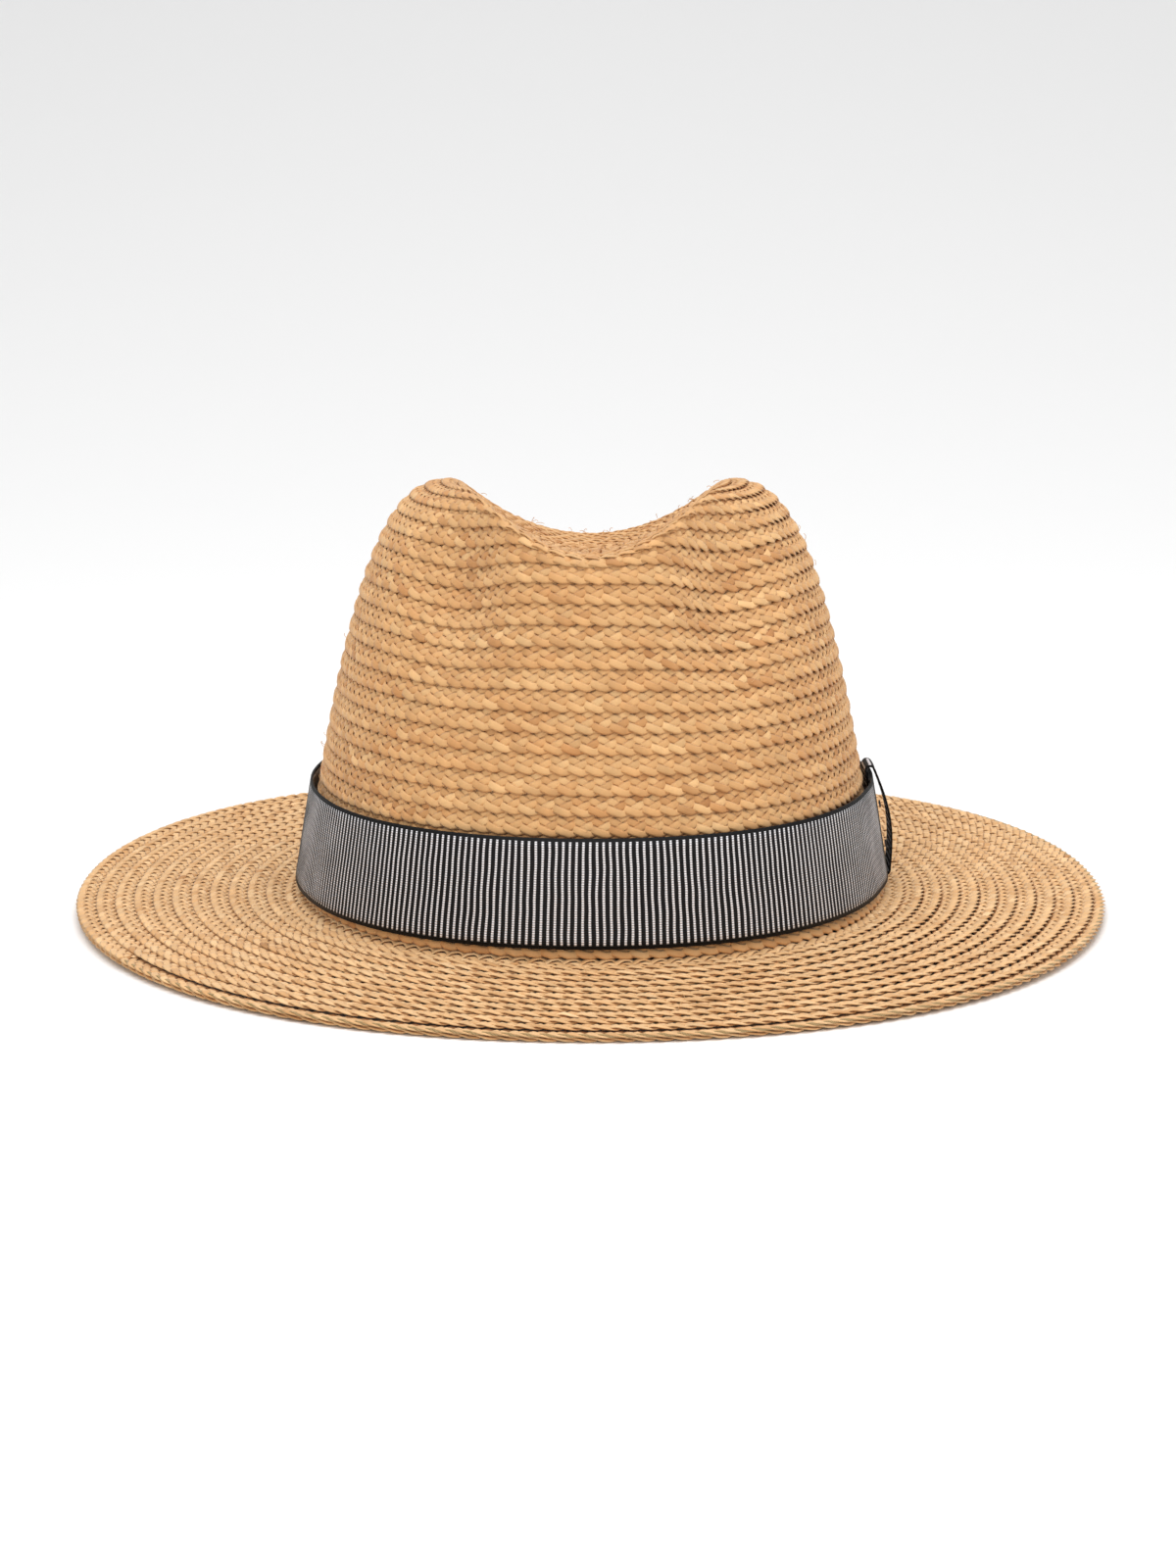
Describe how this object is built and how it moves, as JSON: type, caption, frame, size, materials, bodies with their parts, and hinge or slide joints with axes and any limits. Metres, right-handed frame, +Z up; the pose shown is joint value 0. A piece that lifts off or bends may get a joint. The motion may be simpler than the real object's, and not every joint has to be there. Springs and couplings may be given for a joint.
{
  "type": "fedora hat",
  "caption": "Fedora of sewn plaited raffia with a dented and pinched crown, a flat brim with a folded edge, a fine-striped ribbon with a keeper loop, and a sweatband inside.",
  "frame": {"origin": "centre of the outline, in the plane of the table that the brim's edge stands on", "axes": "+Z up through the crown, -Y towards the front, +X towards the wearer's left, where the keeper is"},
  "size_m": [0.291, 0.338, 0.1194],
  "materials": {
    "raffia_crown": "matt plaited raffia",
    "raffia_brim": "matt plaited raffia",
    "edge_wire": "plain",
    "striped_ribbon": "ribbed grosgrain, fine upright stripes",
    "keeper_ribbon": "ribbed grosgrain, fine stripes",
    "black_thread": "twisted thread",
    "sweatband_tape": "woven cotton tape",
    "seam_cover_tape": "woven cotton tape",
    "label_tape": "satin woven tape, blank",
    "tan_thread": "twisted thread"
  },
  "bodies": {
    "root": {"crown_tip_braid": "raffia_crown", "crown_shoulder_braid": "raffia_crown", "crown_side_braid": "raffia_crown", "crown_foot_braid": "raffia_crown", "brim_braid": "raffia_brim", "brim_edge_turn": "raffia_brim", "brim_wire": "edge_wire", "hat_band": "striped_ribbon", "band_keeper": "keeper_ribbon", "band_tack_stitches": "black_thread", "sweatband": "sweatband_tape", "sweatband_seam_cover": "seam_cover_tape", "size_label": "label_tape", "care_label": "label_tape", "sweatband_thread": "tan_thread"}
  },
  "joints": []
}
